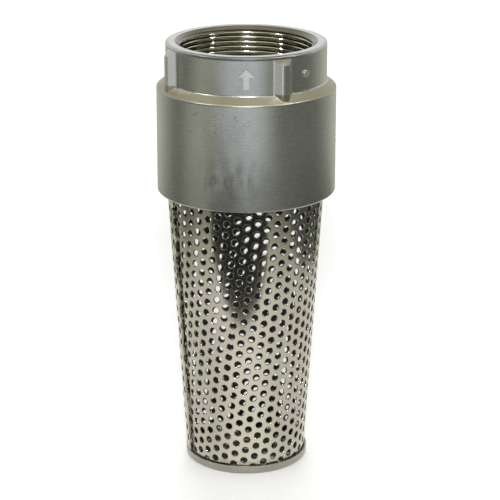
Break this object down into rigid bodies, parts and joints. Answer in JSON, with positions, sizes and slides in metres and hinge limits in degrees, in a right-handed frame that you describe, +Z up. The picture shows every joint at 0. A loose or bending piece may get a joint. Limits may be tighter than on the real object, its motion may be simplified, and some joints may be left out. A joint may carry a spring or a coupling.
{
  "type": "foot valve",
  "caption": "Spring-loaded poppet foot valve for the end of a suction pipe: female pipe thread in a lugged steel body, tapered perforated strainer below.",
  "frame": {"origin": "centre of the base that the valve stands on", "axes": "+Z up along the valve's axis and the flow, -Y to the front, where the cast flow arrow is"},
  "size_m": [0.0772, 0.0772, 0.19],
  "materials": {
    "cast_steel": "satin investment casting, lightly pitted",
    "cast_guide": "satin casting",
    "turned_steel": "turned",
    "spring_steel": "bright drawn wire",
    "sheet_steel": "bright rolled sheet",
    "pressed_steel": "satin pressed sheet",
    "weld_steel": "heat-tinted weld",
    "white_ptfe": "waxy matte",
    "nitrile_rubber": "matte moulded"
  },
  "bodies": {
    "valve": {"valve_body": "cast_steel", "stem_guide": "cast_guide", "guide_bush": "white_ptfe", "return_spring": "spring_steel", "seat_ring": "turned_steel", "body_gasket": "white_ptfe", "strainer_collar": "turned_steel", "strainer_screen": "sheet_steel", "base_cap": "pressed_steel", "base_tack_welds": "weld_steel", "collar_tack_welds": "weld_steel"},
    "poppet": {"valve_stem": "turned_steel", "valve_disc": "turned_steel", "disc_seal": "nitrile_rubber", "seal_retainer": "turned_steel", "spring_washer": "spring_steel", "stem_nut": "turned_steel"}
  },
  "joints": [
    {"name": "poppet_lift", "type": "slide", "parent": "valve", "child": "poppet", "axis": [0, 0, 1], "range_m": [0, 0.011], "stiffness_N_per_m": 380, "springref_m": -0.0125, "deforming": ["return_spring"]}
  ]
}
